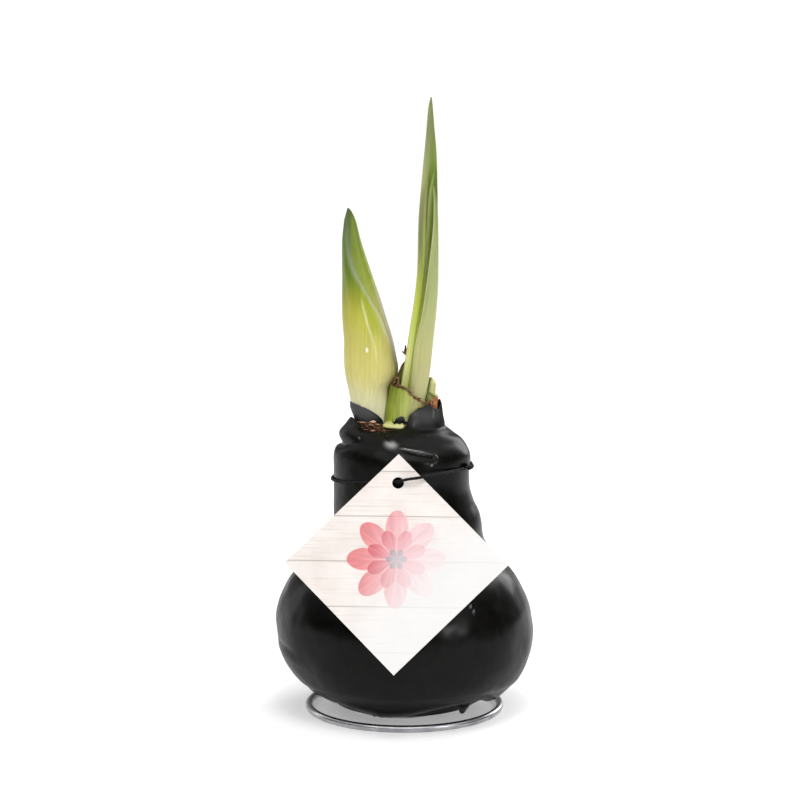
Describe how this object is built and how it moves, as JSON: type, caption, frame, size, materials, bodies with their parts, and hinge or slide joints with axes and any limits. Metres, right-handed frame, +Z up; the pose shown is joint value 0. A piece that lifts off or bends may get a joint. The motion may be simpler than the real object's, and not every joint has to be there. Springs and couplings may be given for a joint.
{
  "type": "waxed amaryllis bulb",
  "caption": "Forced flower bulb in a dipped wax coat, with a closed bud and young leaves at its neck, a square card tag on an elastic, standing on a flat wire spiral.",
  "frame": {"origin": "the floor, under the middle of the whole object's footprint; the bulb's own axis stands 2.5 mm behind it", "axes": "+Z up, +X to the right seen from the tag's side, -Y towards the viewer, so the tag hangs at the -Y side"},
  "size_m": [0.0901, 0.0951, 0.2144],
  "materials": {
    "wax": "satin",
    "bulb_skin": "matte",
    "bud_green": "satin",
    "leaf_green": "satin",
    "cut_leaf_green": "satin",
    "dry_paper": "matte",
    "tag_card": "satin",
    "elastic": "matte",
    "bright_wire": "gloss"
  },
  "bodies": {
    "root": {"wax_coat": "wax", "wax_on_bud": "wax", "bulb": "bulb_skin", "flower_bud": "bud_green", "leaf_tall": "leaf_green", "leaf_inner": "leaf_green", "leaf_front": "leaf_green", "neck_sheath": "cut_leaf_green", "cut_leaf_stub": "cut_leaf_green", "dry_tunic_edge": "dry_paper", "dry_scale_right": "dry_paper", "dry_leaf_tip": "dry_paper", "tag": "tag_card", "elastic_loop": "elastic", "wire_stand": "bright_wire"}
  },
  "joints": []
}
